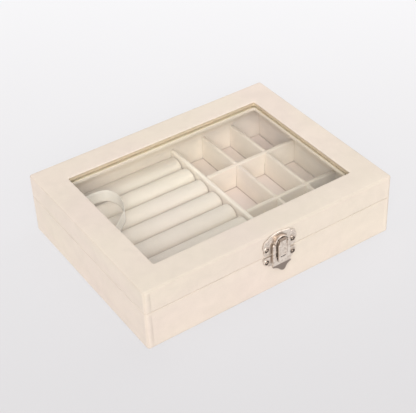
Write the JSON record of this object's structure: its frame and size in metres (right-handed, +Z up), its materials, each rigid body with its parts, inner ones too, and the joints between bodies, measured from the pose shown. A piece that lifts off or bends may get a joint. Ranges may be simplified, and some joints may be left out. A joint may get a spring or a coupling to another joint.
{
  "type": "jewelry box",
  "caption": "Velvet jewelry box with a hinged glass-window lid, padded ring rolls, divided compartments, a stay ribbon and a swinging hasp latch.",
  "frame": {"origin": "middle of the felt under the box, on the surface it stands on", "axes": "+X to the right along the box's long side, +Y to the back where the hinges are, +Z up; the latch is on the -Y side"},
  "size_m": [0.2, 0.161, 0.048],
  "materials": {
    "outer_velvet": "short cream velvet",
    "inner_velvet": "short cream velvet, a shade darker",
    "roll_velvet": "short cream velvet over foam",
    "board": "raw pressed fibre board",
    "felt": "thin felt",
    "satin": "white satin ribbon",
    "glass": "clear",
    "latch_nickel": "antiqued nickel, dark in the hollows",
    "hinge_nickel": "plain nickel"
  },
  "bodies": {
    "base": {"base_velvet_wrap": "outer_velvet", "bottom_felt": "felt", "base_bottom_board": "board", "base_front_board": "board", "base_back_board": "board", "base_left_board": "board", "base_right_board": "board", "base_front_lining": "inner_velvet", "base_back_lining": "inner_velvet", "base_left_lining": "inner_velvet", "base_right_lining": "inner_velvet", "floor_pad": "inner_velvet", "ring_roll_1": "roll_velvet", "ring_roll_2": "roll_velvet", "ring_roll_3": "roll_velvet", "ring_roll_4": "roll_velvet", "ring_roll_5": "roll_velvet", "ring_roll_6": "roll_velvet", "ring_roll_7": "roll_velvet", "ring_roll_8": "roll_velvet", "main_divider": "inner_velvet", "column_divider_left": "inner_velvet", "column_divider_right": "inner_velvet", "row_divider_front": "inner_velvet", "row_divider_back": "inner_velvet", "lid_stay_ribbon": "satin", "hinge_left_base_leaf": "hinge_nickel", "hinge_right_base_leaf": "hinge_nickel", "hinge_left_pin": "hinge_nickel", "hinge_right_pin": "hinge_nickel", "hinge_left_base_nail_1": "hinge_nickel", "hinge_left_base_nail_2": "hinge_nickel", "hinge_right_base_nail_1": "hinge_nickel", "hinge_right_base_nail_2": "hinge_nickel", "base_latch_plate": "latch_nickel", "base_latch_nail_left": "latch_nickel", "base_latch_nail_right": "latch_nickel"},
    "lid": {"lid_velvet_wrap": "outer_velvet", "lid_top_frame": "board", "lid_front_rail": "board", "lid_back_rail": "board", "lid_left_rail": "board", "lid_right_rail": "board", "lid_front_lining": "inner_velvet", "lid_back_lining": "inner_velvet", "lid_left_lining": "inner_velvet", "lid_right_lining": "inner_velvet", "lid_glass_frame": "inner_velvet", "window_glass": "glass", "hinge_left_lid_leaf": "hinge_nickel", "hinge_right_lid_leaf": "hinge_nickel", "hinge_left_lid_nail_1": "hinge_nickel", "hinge_left_lid_nail_2": "hinge_nickel", "hinge_right_lid_nail_1": "hinge_nickel", "hinge_right_lid_nail_2": "hinge_nickel", "lid_latch_plate": "latch_nickel", "lid_latch_nail_left": "latch_nickel", "lid_latch_nail_right": "latch_nickel", "hasp_pin": "latch_nickel"},
    "hasp": {"latch_hasp": "latch_nickel"}
  },
  "joints": [
    {"name": "lid_hinge", "type": "hinge", "parent": "base", "child": "lid", "pos_m": [0, 0.0781, 0.03015], "axis": [-1, 0, 0], "range_deg": [0, 100], "deforming": ["lid_stay_ribbon"]},
    {"name": "hasp_swing", "type": "hinge", "parent": "lid", "child": "hasp", "pos_m": [0.0034, -0.0794, 0.042], "axis": [-1, 0, 0], "range_deg": [0, 95]}
  ]
}
